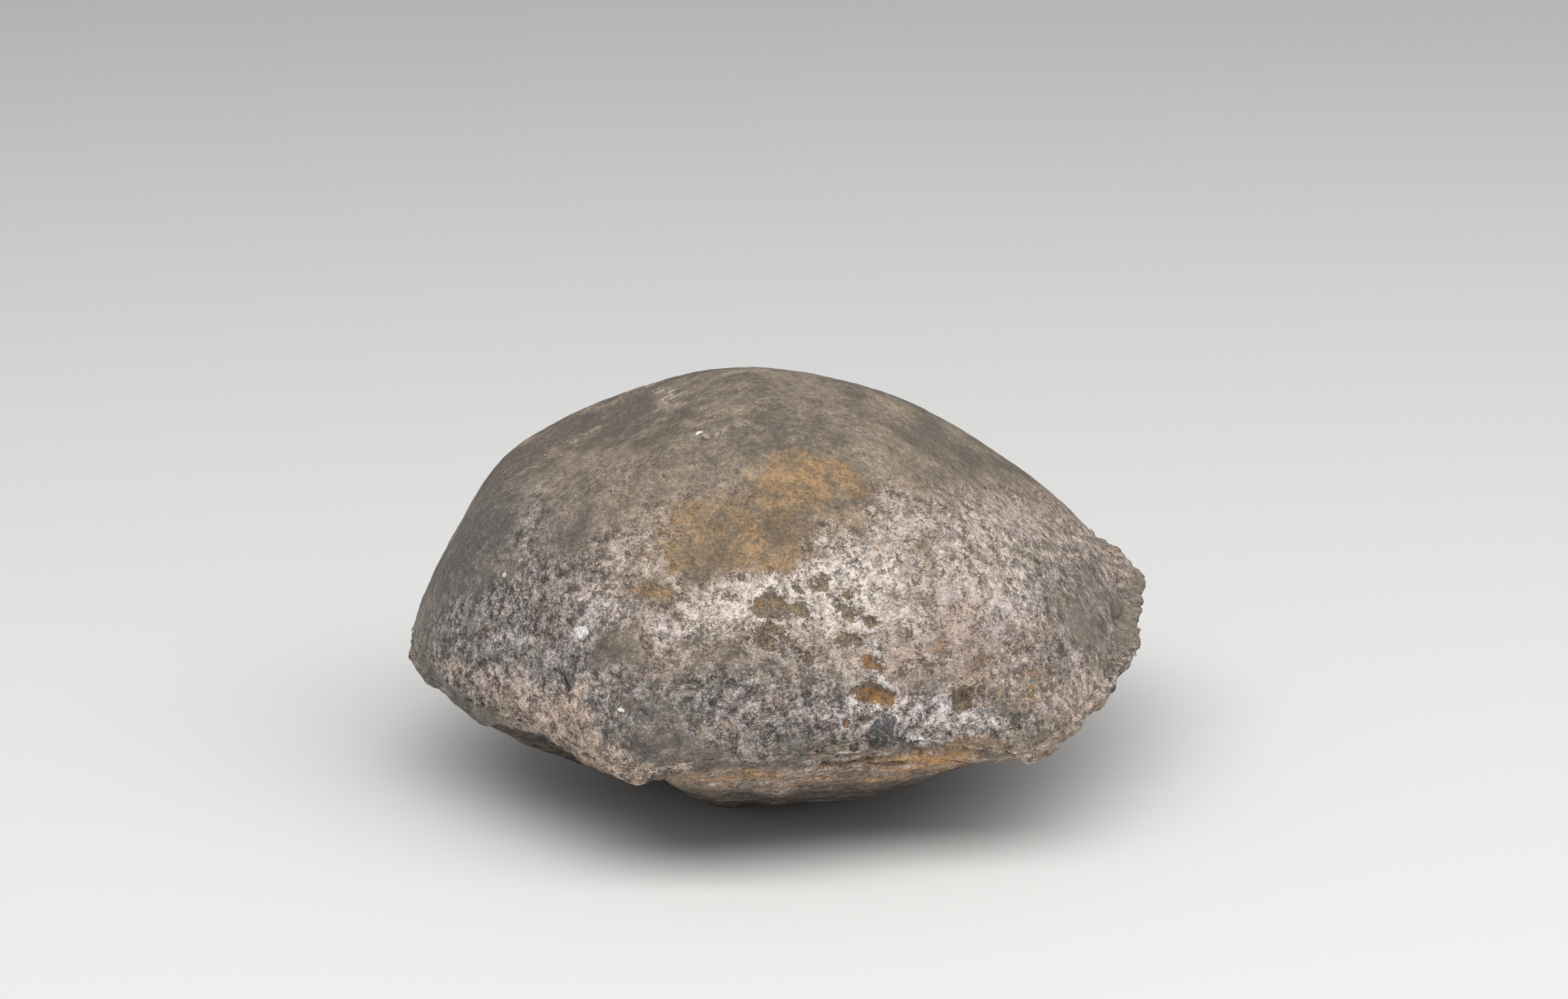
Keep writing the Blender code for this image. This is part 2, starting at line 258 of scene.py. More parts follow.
def dome(ring, bearing):
    """The upper face: a superellipse from the top to the dome's foot, then the ledge.

    Out = sin(t)^(2/p) and up = cos(t)^(2/q), with t from 0 to 90 degrees. p and q are
    low towards +X, where the dome slopes away, and p is high towards -X, where it is
    steep; at the top p is 2 all round, so that no point stands there.
    """
    reach, lip = rim_outline(ring, bearing, DOME_CALM)
    turned = smooth(0.0, 0.5, ring)
    out_power = 2.0 + (power(bearing, OUT_POWER) - 2.0) * turned
    up_power = power(bearing, UP_POWER)
    t = np.minimum(ring / DOME_FOOT, 1) * np.pi / 2
    out = np.sin(t)**(2 / out_power)
    up = np.clip(np.cos(t), 0, 1)**(2 / up_power)
    uneven = 1 + 0.4 * noise(rim_place(bearing, 120.0), 10.0)
    near = smooth(LEDGE_FROM, DOME_FOOT, ring)
    ledge = calm(bearing, LEDGE) * (1 - near) + around(bearing, LEDGE) * uneven * near
    ledge = ledge * smooth(0, 0.15, ring)
    drop = LEDGE_FALL * ledge
    along = np.clip((ring - DOME_FOOT) / (1 - DOME_FOOT), 0, 1)
    foot = (reach - ledge)[..., None] * outward(bearing)
    level = np.array(TOP[:2]) * (1 - out)[..., None] + foot * out[..., None]
    level += (ledge * along)[..., None] * outward(bearing)
    height = lip + drop + (TOP[2] - lip - drop) * up - drop * along
    return pressed(np.concatenate([level, height[..., None]], axis=-1))


def belly(ring, bearing):
    """The lower face: worn patch, belly, undercut and broken edge, one after another.

    The belly's height is a straight slope and a cubic, mixed by its slant.
    """
    reach, lip = rim_outline(ring, bearing, BELLY_CALM)
    edge = around(bearing, EDGE) * (1 + 0.7 * noise(rim_place(bearing, 160.0), 8.0))
    edge_low = lip - edge
    edge_reach = reach - EDGE_BATTER * edge
    root_reach = edge_reach - around(bearing, UNDERCUT)
    root_low = edge_low - ROOT_DROP
    slant = around(bearing, SLANT)
    rest = REST_RADIUS * (1 + 0.07 * np.sin(np.radians(3 * bearing + 50)))
    patch = np.clip(ring / REST_EDGE, 0, 1)
    rise = np.clip((ring - REST_EDGE) / (BELLY_EDGE - REST_EDGE), 0, 1)
    under = np.clip((ring - BELLY_EDGE) / (EDGE_FOOT - BELLY_EDGE), 0, 1)
    up = np.clip((ring - EDGE_FOOT) / (1 - EDGE_FOOT), 0, 1)
    way = outward(bearing)
    level = (np.array(BELLY_CENTRE) * (1 - rise)[..., None]
             + (rest * patch * (1 - rise) + root_reach * rise)[..., None] * way)
    level += ((edge_reach - root_reach) * under + (reach - edge_reach) * up)[..., None] * way
    height = root_low * (slant * rise + (1 - slant) * rise**3)
    height += (edge_low - root_low) * under + (lip - edge_low) * up
    return np.concatenate([level, height[..., None]], axis=-1)


def relief(points, ring, below):
    """How far the surface stands out of its smooth form: swells, lumps and FEATURES.

    Each noise is a height times noise with lumps of a size, both in mm. A feature is its
    own height inside an oval, run out by a smooth step to nothing at the oval's edge.
    """
    broken = smooth(*BROKEN, ring)
    rough = 0.5 + 0.5 * np.maximum(broken, below)
    height = 0.9 * noise(points, 34.0) + 0.5 * rough * noise(points, 15.0)
    height += 0.3 * rough * noise(points, 7.5) - 0.9 * broken * abs(noise(points, 9.0))
    waver = 0.25 * noise(points, 6.0)
    for middle, size, stand in FEATURES.values():
        away = np.linalg.norm((points - middle) / size, axis=-1) + waver
        height += stand * (1 - smooth(0.2, 1.0, away))
    return height * np.where(below > 0, smooth(REST_EDGE, REST_EDGE + 0.12, ring), 1.0)


def vertex_normals(points, faces):
    """The mean outward direction of the faces round each vertex."""
    a, b, c = (points[faces[:, k]] for k in range(3))
    facing = np.cross(b - a, c - a)
    total = np.stack([np.bincount(faces.ravel(), np.repeat(facing[:, k], 3), len(points))
                      for k in range(3)], axis=1)
    return total / np.linalg.norm(total, axis=1)[:, None]


def triangles(index):
    """Two triangles to each square of an index grid, anticlockwise from above.

    Every square is cut along the diagonal that points away from the middle of the grid.
    """
    a, b, c, d = index[:-1, :-1], index[1:, :-1], index[1:, 1:], index[:-1, 1:]
    sign = np.where(np.arange(len(a)) < len(a) // 2, -1, 1)
    out = (sign[:, None] * sign[None, :] > 0)[..., None]
    first = np.where(out, np.stack([a, b, c], axis=-1), np.stack([a, b, d], axis=-1))
    second = np.where(out, np.stack([a, c, d], axis=-1), np.stack([b, c, d], axis=-1))
    return np.concatenate([first, second]).reshape(-1, 3)


def stone(rings):
    """Vertices, triangles, each vertex's ring, and 1 below the rim or 0 above it."""
    ring, bearing = disc_grid(rings)
    side = 2 * rings + 1
    upper = np.arange(side * side).reshape(side, side)
    lower = upper.copy()
    inner = ring < 1 - 1e-9
    lower[inner] = side * side + np.arange(inner.sum())
    points = np.concatenate([
        dome(ring, bearing).reshape(-1, 3),
        belly(ring[inner], bearing[inner]),
    ])
    faces = np.concatenate([triangles(upper), triangles(lower)[:, ::-1]])
    below = np.repeat([0.0, 1.0], [side * side, inner.sum()])
    ring = np.concatenate([ring.ravel(), ring[inner]])
    normals = vertex_normals(points, faces)
    points = points + normals * relief(points, ring, below)[:, None]
    return points, faces, ring, below


# Marks on the front are laid out flat, as across and up in millimetres on the plane that
# faces a place in front of the stone and above it. Up is counted from the stone's lowest
# line on that plane.
SEEN_FROM = np.array([1.3, -714.2, 299.9])
SEEN_DISTANCE = 759.3            # from there to the plane
SEEN_TILT = np.radians(18.66)    # how far the view from there points down
SIGHT = np.array([0.0, np.cos(SEEN_TILT), -np.sin(SEEN_TILT)])
LIFT = np.array([0.0, np.sin(SEEN_TILT), np.cos(SEEN_TILT)])
FRONT_LOW = 62.7                 # from the lowest line up to the middle of the view

# Patches: middle across and up, half width and half height, turn in degrees, and amount.
# How closely the dark crust covers the rock: 1 all over, 0 in flecks, -1 not at all.
COVER = (
    (-37.0, 76.0, 17.0, 6.0, 30.0, 0.74),
    (-61.0, 56.0, 20.0, 6.0, 64.0, 0.74),
    (-36.0, 67.0, 16.0, 5.5, 20.0, 0.27),
    (-52.0, 57.0, 13.0, 4.0, 42.0, 0.28),
    (-34.0, 60.0, 14.0, 2.6, 32.0, 0.44),
    (-40.0, 47.0, 26.0, 7.0, 30.0, 0.06),
    (-31.0, 55.5, 6.0, 1.5, 32.0, -0.20),
    (-33.5, 52.0, 5.0, 1.2, 32.0, -0.10),
    (-27.0, 50.5, 3.2, 2.4, 0.0, -0.30),
    (-62.0, 34.0, 13.0, 9.0, -20.0, 0.24),
    (-50.0, 35.0, 13.0, 7.0, -25.0, -0.08),
    (-42.0, 24.0, 22.0, 7.0, -26.0, 0.09),
    (-36.0, 41.0, 10.0, 4.0, 25.0, -0.05),
    (-23.0, 32.0, 16.0, 4.5, -5.0, 0.24),
    (-14.0, 18.0, 20.0, 8.0, -6.0, 0.22),
    (12.0, 25.0, 26.0, 13.0, 0.0, -0.04),
    (37.0, 38.0, 28.0, 20.0, 0.0, -0.34),
    (50.0, 55.0, 15.0, 8.0, -42.0, -0.22),
    (30.0, 54.0, 15.0, 6.0, -8.0, -0.20),
    (57.0, 26.0, 15.0, 14.0, 0.0, 0.12),
    (-6.0, 41.0, 23.0, 6.0, 6.0, -0.40),
    (12.0, 43.0, 14.0, 10.0, 0.0, -0.42),
    (62.0, 40.0, 10.0, 8.0, -30.0, 0.30),
    (53.0, 51.0, 4.0, 6.0, -35.0, 0.10),
    (66.0, 36.0, 5.0, 8.0, 0.0, 0.34),
    (34.0, 75.0, 13.0, 6.0, -35.0, 0.62),
    (56.0, 31.0, 4.0, 3.0, 0.0, 0.08),
    (40.0, 51.5, 4.5, 2.4, -40.0, 0.10),
    (29.0, 52.0, 3.5, 2.2, 0.0, 0.05),
    (34.0, 16.5, 11.0, 2.2, 4.0, -0.28),
    (-17.5, 49.5, 5.5, 1.5, 8.0, 0.30),
    (-22.7, 83.2, 3.6, 0.9, 20.0, 0.00),
    (-27.3, 85.9, 3.4, 0.8, 18.0, -0.05),
    (-9.8, 78.4, 1.6, 0.6, 5.0, 0.05),
    (-16.0, 76.8, 3.0, 0.8, 25.0, -0.05),
    (8.0, 87.5, 2.4, 0.8, -15.0, 0.10),
)
# How bleached the bare rock is, 0 to 1.
PALE = (
    (-7.0, 41.0, 21.0, 5.5, 8.0, 0.85),
    (12.0, 44.0, 17.0, 10.0, 0.0, 1.00),
    (17.0, 22.0, 10.0, 5.0, -15.0, 0.75),
    (40.0, 51.0, 20.0, 8.0, -15.0, 0.50),
    (-28.0, 53.0, 7.0, 4.0, 25.0, 0.60),
    (37.0, 16.0, 11.0, 3.0, 0.0, 0.55),
    (-25.0, 84.5, 7.0, 2.5, 18.0, 0.50),
    (-16.0, 76.8, 4.0, 1.5, 25.0, 0.80),
    (-33.0, 42.0, 12.0, 5.0, 25.0, 0.35),
)
# How slate-grey the crust is instead of olive brown, 0 to 1.
COOL = (
    (-58.0, 42.0, 20.0, 22.0, -20.0, 0.60),
    (-64.0, 33.0, 10.0, 12.0, 0.0, 0.95),
    (-40.0, 24.0, 24.0, 12.0, -20.0, 0.70),
    (-12.0, 18.0, 26.0, 11.0, -5.0, 0.75),
    (30.0, 18.0, 24.0, 6.0, 0.0, 0.80),
    (60.0, 38.0, 16.0, 16.0, 0.0, 0.40),
    (-24.0, 33.0, 13.0, 6.0, -8.0, 0.15),
    (-17.0, 10.5, 9.0, 2.5, 0.0, 0.30),
)
# Iron stain that has soaked into the crust, 0 to 1.
OCHRE = (
    (-3.0, 60.0, 18.0, 8.0, 27.0, 0.80),
    (-18.5, 55.5, 14.0, 4.5, 24.0, 0.66),
    (-31.0, 56.5, 5.0, 1.6, 30.0, 0.35),
    (-4.0, 52.0, 12.0, 5.5, 5.0, 0.75),
    (3.0, 67.0, 7.0, 3.5, 30.0, 0.90),
    (14.2, 65.5, 2.4, 5.0, 35.0, 1.00),
    (10.0, 58.0, 6.0, 5.0, 20.0, 0.45),
    (-28.0, 45.0, 3.6, 1.8, 0.0, 0.80),
)
# Hollows where a flake of shell and crust has come away, 0 to 1.
SCAR = (
    (13.0, 38.0, 9.0, 8.0, 0.0, 0.22),
    (-2.5, 40.6, 3.4, 2.5, -10.0, 1.0),
    (3.8, 39.7, 1.5, 1.5, 0.0, 1.0),
    (-3.5, 34.8, 4.6, 2.8, 0.0, 0.8),
    (4.8, 30.2, 3.5, 1.5, -25.0, 0.8),
    (7.5, 45.4, 1.9, 1.6, 0.0, 1.0),
    (2.8, 44.2, 1.3, 0.9, 0.0, 1.0),
    (13.3, 40.2, 2.7, 1.7, -30.0, 1.0),
    (18.2, 37.5, 1.5, 1.1, 0.0, 1.0),
    (13.4, 34.0, 1.9, 1.3, 0.0, 1.0),
    (19.0, 29.0, 2.2, 1.6, 0.0, 0.8),
    (18.1, 22.8, 4.4, 2.2, -12.0, 1.0),
    (16.6, 17.2, 1.4, 1.2, 0.0, 1.0),
    (13.0, 16.9, 1.2, 1.1, 0.0, 1.0),
    (37.0, 21.8, 2.4, 2.7, 0.0, 1.0),
    (51.0, 23.0, 2.4, 1.8, 20.0, 0.45),
)
# A dark pebble in the sandstone, 0 to 1.
PEBBLE = (
    (20.3, 15.3, 3.3, 2.0, 40.0, 1.0),
)
# Raw rust, 0 to 1.
RUST = (
    (12.0, 40.0, 10.0, 9.0, 0.0, 0.22),
    (18.8, 21.9, 3.8, 1.5, -12.0, 1.0),
    (-3.9, 40.7, 2.0, 1.4, 0.0, 0.40),
    (0.0, 41.5, 1.4, 1.0, 0.0, 0.35),
    (17.5, 29.5, 4.0, 1.8, -15.0, 0.55),
    (13.0, 16.5, 1.2, 1.1, 0.0, 0.5),
    (50.4, 23.2, 3.4, 3.0, 0.0, 0.45),
    (38.0, 32.0, 10.0, 5.0, 0.0, 0.34),
    (46.0, 24.0, 10.0, 6.0, 0.0, 0.40),
    (33.0, 10.0, 13.0, 2.8, 16.0, 0.9),
    (-11.0, 6.3, 7.0, 0.9, 3.0, 0.55),
)
# Pinkish sandy rock that is coming apart in grains, 0 to 1.
SANDY = (
    (-45.0, 14.5, 19.0, 5.5, -34.0, 1.00),
    (-64.0, 25.0, 10.0, 2.6, -32.0, 0.75),
    (-43.8, 21.0, 2.6, 5.0, -30.0, 1.00),
    (-32.0, 6.5, 7.0, 4.0, -30.0, 1.00),
    (-22.0, 8.0, 4.0, 1.6, 15.0, 0.60),
    (69.5, 50.0, 4.0, 5.0, -45.0, 0.40),
    (62.0, 24.0, 8.0, 6.0, 40.0, 0.35),
)
# Hard white chips, 0 to 1.
CHIP = (
    (-42.0, 35.5, 1.2, 1.3, 0.0, 1.0),
    (-57.2, 46.9, 0.5, 0.8, 0.0, 0.9),
    (-33.5, 19.8, 0.5, 0.5, 0.0, 0.9),
    (-17.3, 76.3, 0.8, 0.4, 30.0, 0.80),
    (19.0, 31.5, 1.3, 0.9, 0.0, 0.9),
    (18.3, 33.6, 0.9, 0.7, 0.0, 0.8),
    (20.5, 25.3, 1.6, 0.9, -45.0, 0.8),
    (39.3, 16.5, 0.8, 0.6, 0.0, 0.9),
    (18.9, 42.9, 0.9, 0.8, 0.0, 0.7),
    (27.0, 13.4, 1.6, 0.8, 10.0, 0.7),
    (34.0, 16.0, 2.2, 0.7, 0.0, 0.5),
)
# Cracks: the points each one passes, across and up. The last is the crevice under the pebble. All
# are painted near black, as painted shade in their gaps.
CRACKS = (
    ((-54.5, 23.0), (-53.0, 22.2), (-51.8, 21.3)),
    ((-51.8, 22.3), (-48.8, 21.3), (-46.5, 20.0)),
    ((-47.0, 27.5), (-44.2, 24.2), (-42.5, 21.5)),
    ((-32.0, 19.8), (-28.5, 18.3), (-25.0, 17.0)),
    ((17.6, 11.6), (19.0, 12.2), (20.5, 11.9)),
)
CRACK_REACH = 3.0                # how far from a crack its distance is still kept
FAR = 1e3                        # further than any two places on the stone are apart

# For each finish: its patches, its amount outside them, the share of a patch's radius over
# which the edge runs out, and whether noise bends the patch broadly or finely.
MARKS = {
    "cover": (COVER, 0.45, 0.70, "broadly"),
    "pale": (PALE, 0.0, 0.60, "broadly"),
    "cool": (COOL, 0.0, 0.50, "broadly"),
    "ochre": (OCHRE, 0.0, 0.40, "broadly"),
    "sandy": (SANDY, 0.0, 0.50, "broadly"),
    "scar": (SCAR, 0.0, 0.85, "finely"),
    "rust": (RUST, 0.0, 0.80, "finely"),
    "pebble": (PEBBLE, 0.0, 0.60, "finely"),
    "chip": (CHIP, 0.0, 0.90, "finely"),
}
FACING = (-0.08, 0.12)           # cosines to the view between which the patches fade in
CRUST_CLOSES = (38.0, 66.0)      # heights between which the crust closes at the back
FLAKES_FROM = (-15.0, 5.0)       # where along Y the flaked places of the back begin
BAND_FROM = (-36.0, -20.0)       # where across the front the layers under the rim begin
BELLY_LAP = 0.02                 # how far past BELLY_EDGE the belly's darkened colour, partly painted shade, runs


def front(points):
    """Across and up of each point on the plane that faces SEEN_FROM.

    Its offset from there is scaled until it reaches the plane, SEEN_DISTANCE away.
    """
    away = points - SEEN_FROM
    scale = SEEN_DISTANCE / (away @ SIGHT)
    return away[:, 0] * scale, (away @ LIFT) * scale + FRONT_LOW


def laid(base, patches, across, up, soft):
    """A value over the front: each oval patch turns it to its own amount inside its edge.

    The change is a smooth step over the distance from the patch's middle, which is 1 on
    the oval. `soft` is the share of that distance over which the edge runs out.
    """
    for middle, height, half_width, half_height, turn, amount in patches:
        cosine, sine = np.cos(np.radians(turn)), np.sin(np.radians(turn))
        right, over = across - middle, up - height
        away = np.hypot((right * cosine + over * sine) / half_width,
                        (over * cosine - right * sine) / half_height)
        base = base + (amount - base) * (1 - smooth(1 - soft, 1 + soft, away))
    return base


def near_line(line, across, up):
    """Distance of each place to the nearest stretch of a line through some points."""
    nearest = np.full(across.shape, FAR)
    for (x0, y0), (x1, y1) in zip(line, line[1:]):
        length = np.hypot(x1 - x0, y1 - y0)
        share = ((across - x0) * (x1 - x0) + (up - y0) * (y1 - y0)) / length**2
        share = np.clip(share, 0, 1)
        away = np.hypot(across - x0 - share * (x1 - x0), up - y0 - share * (y1 - y0))
        nearest = np.minimum(nearest, away)
    return nearest


def behind(points, ring):
    """The finishes' amounts away from the front, from noise, height and ring alone."""
    crusted = smooth(*CRUST_CLOSES, points[:, 2] + 7 * noise(points, 21.0))
    bleached = smooth(0.15, 0.7, noise(points + 130.0, 17.0)) * (1 - crusted)
    flaked = smooth(0.35, 0.75, noise(points + 210.0, 5.5)) * (1 - 0.6 * crusted)
    flaked = flaked * smooth(*FLAKES_FROM, points[:, 1])
    crumbling = smooth(0.86, 1.0, ring) * smooth(-0.2, 0.5, noise(points + 30.0, 19.0))
    return {
        "cover": 0.10 + 0.45 * crusted + 0.45 * noise(points + 20.0, 24.0),
        "pale": 0.8 * bleached,
        "cool": smooth(-0.3, 0.5, noise(points + 60.0, 22.0)) * (1 - crusted),
        "ochre": smooth(0.30, 0.75, noise(points + 170.0, 26.0)) * 0.7,
        "sandy": crumbling * 0.7,
        "scar": flaked,
        "rust": 0.7 * flaked * smooth(0.0, 0.6, noise(points, 7.0)),
    }


def weathering(points, normals, ring, below):
    """Each finish's amount at each vertex, from the patches in front and noise elsewhere.

    The two are mixed by the cosine of the angle between the surface and the view. The
    belly and the band under the rim follow the rings instead.
    """
    to_front = SEEN_FROM - points
    to_front /= np.linalg.norm(to_front, axis=1)[:, None]
    faced = smooth(*FACING, np.sum(normals * to_front, axis=1))
    across, up = front(points)
    bent = {
        "broadly": (
            across + (3.0 * noise(points, 14.0) + 1.8 * noise(points + 90.0, 6.0)
                      + 0.8 * noise(points + 10.0, 2.6)),
            up + (2.2 * noise(points + 50.0, 14.0) + 1.4 * noise(points + 70.0, 6.0)
                  + 0.7 * noise(points + 110.0, 2.6)),
        ),
        "finely": (
            across + 0.9 * noise(points + 10.0, 2.2) + 0.6 * noise(points + 90.0, 5.0),
            up + 0.8 * noise(points + 110.0, 2.2) + 0.5 * noise(points + 70.0, 5.0),
        ),
    }
    elsewhere = behind(points, ring)
    finish = {}
    for name, (patches, base, soft, how) in MARKS.items():
        in_front = laid(base, patches, *bent[how], soft)
        finish[name] = in_front * faced + elsewhere.get(name, 0.0) * (1 - faced)

    cracked = np.full(len(points), FAR)
    for line in CRACKS:
        cracked = np.minimum(cracked, near_line(line, *bent["finely"]))
    finish["crack"] = CRACK_REACH + (np.minimum(cracked, CRACK_REACH) - CRACK_REACH) * faced

    banded = smooth(*BAND_FROM, across) * faced
    banded = banded + smooth(-0.3, 0.5, noise(points + 65.0, 20.0)) * (1 - faced)
    foot = BELLY_EDGE + BELLY_LAP + (EDGE_FOOT - BELLY_EDGE - BELLY_LAP) * banded
    # Below the rim the belly's colour is laid with its painted shade, and the band's with its
    # painted light.
    under = below * (1 - smooth(foot, foot + 0.08, ring + 0.04 * noise(points + 75.0, 5.0)))
    finish["belly"] = under
    finish["band"] = under * banded * smooth(BELLY_EDGE - 0.16, BELLY_EDGE - 0.02, ring)

    finish["sandy"] *= 1 - finish["band"]
    finish["cover"] += 0.20 * noise(points + 25.0, 13.0)
    finish["cover"] += 0.12 * noise(points + 35.0, 5.5)
    finish["cover"] -= 0.75 * finish["sandy"]
    finish["ochre"] *= 1 - below
    finish["scar"] *= 1 - below
    return finish


def fine_relief(points, finish, ring, below):
    """The small forms: crust and its broken edge, pits, scars, grains, cracks, layers.

    Each is a height in mm, times noise or a smooth step of its finish's amount. The layers
    are a sine of the height, which noise makes wavy.
    """
    cover = finish["cover"]
    bare = 1 - smooth(-0.05, 0.25, cover + 0.25 * noise(points, 3.4))
    height = 0.25 * (1 - bare)
    height += bare * (0.22 * noise(points, 2.3) - 0.4 * smooth(0.35, 0.6, noise(points, 3.1)))
    height += 0.10 * noise(points + 15.0, 1.9)
    height -= 0.5 * smooth(0.30, 0.55, finish["scar"] + 0.2 * noise(points, 2.2))
    height += 0.8 * smooth(0.25, 0.6, finish["pebble"])
    height -= 0.3 * (1 - smooth(0.1, 0.9, finish["crack"]))
    height += 0.25 * smooth(0.3, 0.8, finish["chip"])
    rough = np.maximum(finish["sandy"], smooth(0.93, 1.0, ring))
    height += rough * (0.35 * noise(points + 33.0, 2.0) + 0.45 * noise(points + 44.0, 4.2))
    height -= 0.8 * smooth(0.95, 0.99, ring) * smooth(0.15, 0.5, noise(points + 55.0, 6.5))
    layer = points[:, 2] * 0.9 - 0.02 * points[:, 0] + 1.4 * noise(points, 11.0)
    height += finish["band"] * 0.35 * np.sin(2.6 * layer)
    height += finish["belly"] * (0.25 * noise(points, 3.5) + 0.3 * noise(points, 6.0))
    return height * np.where(below > 0, smooth(REST_EDGE, REST_EDGE + 0.10, ring), 1.0)


def meshed(name, points, faces):
    """A smooth-shaded object from arrays of places in metres and of triangles."""
    mesh = bpy.data.meshes.new(name)
    mesh.vertices.add(len(points))
    mesh.vertices.foreach_set("co", points.astype(np.float32).ravel())
    mesh.loops.add(faces.size)
    mesh.loops.foreach_set("vertex_index", faces.astype(np.int32).ravel())
    mesh.polygons.add(len(faces))
    mesh.polygons.foreach_set("loop_start", np.arange(0, faces.size, 3, dtype=np.int32))
    mesh.update(calc_edges=True)
    mesh.validate()
    mesh.shade_smooth()
    thing = bpy.data.objects.new(name, mesh)
    bpy.context.scene.collection.objects.link(thing)
    return thing


def give(thing, name, values):
    """A named amount at each vertex, for the material to read."""
    attribute = thing.data.attributes.new(name, "FLOAT", "POINT")
    attribute.data.foreach_set("value", values.astype(np.float32))


# The middle of the plain solid's box stands over the origin, and the finished surface is
# moved with it. Nothing of it reaches below the table.
solid_points = stone(SOLID_RINGS)[0]
middle = (solid_points.min(axis=0) + solid_points.max(axis=0)) / 2 * (1, 1, 0)
points, faces, ring, below = stone(FINE_RINGS)
normals = vertex_normals(points, faces)
finish = weathering(points, normals, ring, below)
points = points + normals * fine_relief(points, finish, ring, below)[:, None]
points[:, 2] = np.maximum(points[:, 2], 0.0)
egg = meshed("egg_stone", (points - middle) * MM, faces)
for name, values in finish.items():
    give(egg, name, values)


class Wire:
    """An output of a shader node, worked with like a number: an operator adds a node."""

    def __init__(self, tree, socket):
        self.tree = tree
        self.socket = socket

    def node(self, kind, settings, inputs, output=0):
        """Any node: its settings first, then the number, colour or wire of each input."""
        made = self.tree.nodes.new(kind)
        for name, value in settings.items():
            setattr(made, name, value)
        for name, value in inputs.items():
            if isinstance(value, Wire):
                self.tree.links.new(value.socket, made.inputs[name])
            else:
                made.inputs[name].default_value = value
        return Wire(self.tree, made.outputs[output])

    def math(self, operation, *values):
        """A sum or other operation on numbers and wires."""
        return self.node("ShaderNodeMath", {"operation": operation}, dict(enumerate(values)))

    def __add__(self, other):
        return self.math("ADD", self, other)

    def __radd__(self, other):
        return self.math("ADD", other, self)

    def __sub__(self, other):
        return self.math("SUBTRACT", self, other)

    def __rsub__(self, other):
        return self.math("SUBTRACT", other, self)

    def __mul__(self, other):
        return self.math("MULTIPLY", self, other)

    def __rmul__(self, other):
        return self.math("MULTIPLY", other, self)

    def step(self, low, high):
        """Smooth step from 0 at `low` to 1 at `high`."""
        return self.node("ShaderNodeMapRange", {"interpolation_type": "SMOOTHSTEP"},
                         {0: self, 1: low, 2: high})

    def attribute(self, name):
        """The amount that the mesh holds at each vertex under a name."""
        return self.node("ShaderNodeAttribute", {"attribute_name": name}, {}, "Fac")

    def cloud(self, size, detail=2.0, roughness=0.5, shift=0.0):
        """Soft noise over this vector, about -1 to 1, with lumps `size` across."""
        moved = self.node("ShaderNodeVectorMath", {"operation": "ADD"},
                          {0: self, 1: (shift, shift, shift)})
        return self.node("ShaderNodeTexNoise", {}, {
            "Vector": moved, "Scale": 1 / size, "Detail": detail, "Roughness": roughness,
        }) * 4.0 - 2.0

    def mix(self, first, second):
        """From one colour to the other as this goes from 0 to 1."""
        return self.node("ShaderNodeMix", {"data_type": "RGBA"},
                         {0: self, 6: first, 7: second}, 2)

    def parts(self):
        """The red, green and blue of this colour, as three wires."""
        red = self.node("ShaderNodeSeparateColor", {}, {0: self})
        return [Wire(self.tree, socket) for socket in red.socket.node.outputs]

    def shaded(self, factor):
        """This colour times a number."""
        return self.node("ShaderNodeVectorMath", {"operation": "SCALE"},
                         {0: self, "Scale": factor})


def tone(red, green, blue):
    """A colour given as it shows on a screen, 0 to 255, as the shader's linear values."""
    share = np.array([red, green, blue]) / 255
    linear = np.where(share <= 0.04045, share / 12.92, ((share + 0.055) / 1.055)**2.4)
    return (*linear, 1.0)


CRUST_OLIVE = tone(130, 118, 100)
CRUST_DARK = tone(90, 83, 72)
CRUST_PINK = tone(154, 137, 127)
CRUST_SLATE = tone(86, 88, 88)
CRUST_UMBER = tone(114, 96, 76)
ROCK_PINK = tone(186, 167, 155)
ROCK_LILAC = tone(177, 170, 170)
ROCK_WHITE = tone(214, 203, 193)
FROST_WHITE = tone(232, 226, 222)
ROCK_TAN = tone(166, 140, 117)
UMBER_GRAIN = tone(142, 112, 82)
ROCK_DARK = tone(82, 77, 73)
OCHRE_LIGHT = tone(173, 139, 98)
OCHRE_DEEP = tone(114, 97, 73)
SCAR_FLOOR = tone(78, 69, 57)
SCAR_LIGHT = tone(148, 129, 104)
RUST_RAW = tone(176, 126, 70)
SAND_PINK = tone(208, 185, 169)
SAND_OCHRE = tone(204, 180, 152)
PEBBLE_DARK = tone(62, 64, 66)
PEBBLE_LIGHT = tone(170, 168, 164)
# The belly's two greys are darkened by painted shade, for the underside below the rim.
BELLY_GREY_SHADED = tone(80, 72, 66)
BELLY_PALE_SHADED = tone(140, 126, 114)
# The band's brown and ochre are lightened as painted light, against the shade under the rim.
BAND_BROWN_LIT = tone(184, 160, 141)
BAND_OCHRE_LIT = tone(245, 200, 144)
BAND_DARK = tone(88, 71, 56)
CHIP_WHITE = tone(248, 246, 240)
# Near black for the cracks: painted shade in their gaps.
CRACK_SHADE_BLACK = tone(30, 27, 25)
GRAIN = 0.6                      # width of a sand grain, in mm
CRAZE = 3.2                      # width of a cell of the fine surface cracks, in mm
CRAZE_BEND = 2.2                 # how far a noise bends those cells, in mm
CRAZE_WAVES = 0.7                # lumps of that noise to a millimetre
ARC_MIDDLE = (5.0, -20.0)        # across and up of the line that the streaks bend round
ARC_LENGTH = 36.0                # length given to a radian of the streaks, in mm
BED_TILT = np.radians(8.0)       # slope of the layers under the rim
BED_STRETCH = 0.16               # a layer's thickness over its length
UMBER_FROM = (-45.0, -25.0)      # where along X the low crust turns from slate to umber
GLOSS = 0.35                     # specular level of the whole surface


